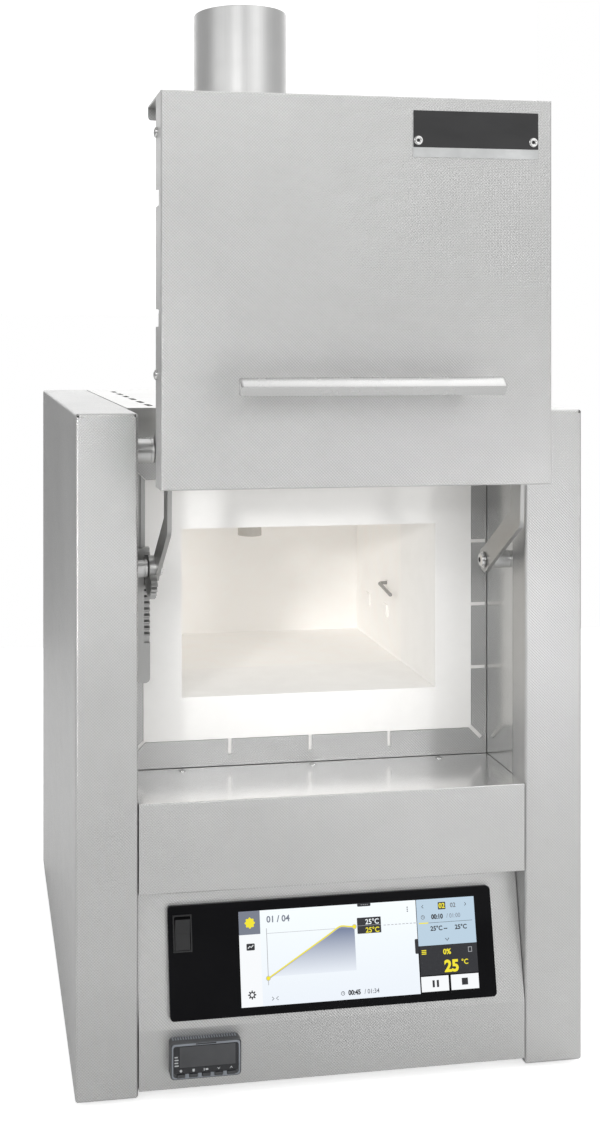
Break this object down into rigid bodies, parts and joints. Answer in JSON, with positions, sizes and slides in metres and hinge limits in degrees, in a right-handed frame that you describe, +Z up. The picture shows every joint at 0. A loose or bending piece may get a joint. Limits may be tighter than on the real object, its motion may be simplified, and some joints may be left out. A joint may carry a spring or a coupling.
{
  "type": "muffle furnace",
  "caption": "Bench-top muffle furnace with a parallel-swing lift door, fibre-lined chamber, exhaust chimney, sloping touch controller and over-temperature limiter.",
  "frame": {"origin": "on the table, under the middle of the whole object with the door raised", "axes": "+X to the right seen from the front, +Y towards the back, +Z up"},
  "size_m": [0.385, 0.5284, 0.8745],
  "materials": {
    "linen_steel": "embossed linen texture, satin",
    "smooth_steel": "smooth rolled, satin",
    "bright_steel": "bright drawn",
    "linkage_steel": "laser-cut, tumbled",
    "white_fibre": "vacuum-formed ceramic fibre, matt",
    "ceramic": "fired ceramic, matt",
    "black_glass": "gloss, printed black behind",
    "black_plastic": "fine satin",
    "dark_grey_plastic": "fine spark-eroded",
    "display": "clear dark window",
    "rubber": "matt",
    "heat_sink": "extruded"
  },
  "bodies": {
    "casing": {"base_pan": "smooth_steel", "chimney": "bright_steel", "chimney_screws": "bright_steel", "controller_body": "black_plastic", "element_clips": "ceramic", "face_frame": "linen_steel", "feet": "rubber", "fibre_collar": "white_fibre", "flue_box": "smooth_steel", "front_panel": "linen_steel", "ledge": "linen_steel", "ledge_screws": "bright_steel", "left_heating_plate": "ceramic", "left_inner_wall": "smooth_steel", "left_side_cover": "linen_steel", "limiter_display": "display", "limiter_housing": "dark_grey_plastic", "lining": "white_fibre", "lower_bushes": "bright_steel", "mains_inlet": "black_plastic", "muffle": "ceramic", "pivot_caps": "bright_steel", "power_module": "heat_sink", "rack_guide": "smooth_steel", "rear_panel": "smooth_steel", "right_heating_plate": "ceramic", "right_inner_wall": "smooth_steel", "right_side_cover": "linen_steel", "spring_anchor": "smooth_steel", "switch_frame": "black_plastic", "terminal_block": "black_plastic", "thermocouple": "linkage_steel", "top_cover": "smooth_steel", "touch_glass": "black_glass", "upper_bushes": "bright_steel", "vent_tube": "ceramic"},
    "lower_arms": {"lower_left_arm": "linkage_steel", "lower_right_arm": "linkage_steel", "gear_sector": "linkage_steel"},
    "upper_arms": {"upper_left_arm": "linkage_steel", "upper_right_arm": "linkage_steel"},
    "door": {"door_skin": "linen_steel", "door_pan": "smooth_steel", "door_insulation": "white_fibre", "door_screws": "bright_steel", "lower_door_studs": "bright_steel", "upper_door_studs": "bright_steel", "handle_bar": "bright_steel", "handle_posts": "bright_steel"},
    "rack_body": {"rack": "linkage_steel", "counterbalance_spring": "linkage_steel"},
    "rocker_body": {"power_rocker": "black_plastic"},
    "key_1": {"limiter_button_1": "dark_grey_plastic"},
    "key_2": {"limiter_button_2": "dark_grey_plastic"},
    "key_3": {"limiter_button_3": "dark_grey_plastic"},
    "key_4": {"limiter_button_4": "dark_grey_plastic"},
    "key_5": {"limiter_button_5": "dark_grey_plastic"}
  },
  "joints": [
    {"name": "door_lift", "type": "hinge", "parent": "casing", "child": "lower_arms", "pos_m": [0, -0.13533, 0.379], "axis": [1, 0, 0], "range_deg": [0, 147]},
    {"name": "upper_arm_swing", "type": "hinge", "parent": "casing", "child": "upper_arms", "pos_m": [0, -0.13533, 0.467], "axis": [1, 0, 0], "range_deg": [0, 147]},
    {"name": "door_level", "type": "hinge", "parent": "lower_arms", "child": "door", "pos_m": [0, -0.19658, 0.48509], "axis": [1, 0, 0], "range_deg": [-147, 0]},
    {"name": "rack_slide", "type": "slide", "parent": "casing", "child": "rack_body", "axis": [0, 0, 1], "range_m": [0, 0.054], "deforming": ["counterbalance_spring"]},
    {"name": "mains_switch", "type": "hinge", "parent": "casing", "child": "rocker_body", "pos_m": [-0.1134, -0.1563, 0.11518], "axis": [1, 0, 0], "range_deg": [-14, 0]},
    {"name": "key_1_press", "type": "slide", "parent": "casing", "child": "key_1", "axis": [0, 1, 0], "range_m": [0, 0.0008], "stiffness_N_per_m": 400},
    {"name": "key_2_press", "type": "slide", "parent": "casing", "child": "key_2", "axis": [0, 1, 0], "range_m": [0, 0.0008], "stiffness_N_per_m": 400},
    {"name": "key_3_press", "type": "slide", "parent": "casing", "child": "key_3", "axis": [0, 1, 0], "range_m": [0, 0.0008], "stiffness_N_per_m": 400},
    {"name": "key_4_press", "type": "slide", "parent": "casing", "child": "key_4", "axis": [0, 1, 0], "range_m": [0, 0.0008], "stiffness_N_per_m": 400},
    {"name": "key_5_press", "type": "slide", "parent": "casing", "child": "key_5", "axis": [0, 1, 0], "range_m": [0, 0.0008], "stiffness_N_per_m": 400}
  ],
  "couplings": [
    {"joint": "upper_arm_swing", "follows": "door_lift", "ratio": 1},
    {"joint": "door_level", "follows": "door_lift", "ratio": -1},
    {"joint": "rack_slide", "follows": "door_lift", "m_per_rad": 0.021}
  ]
}
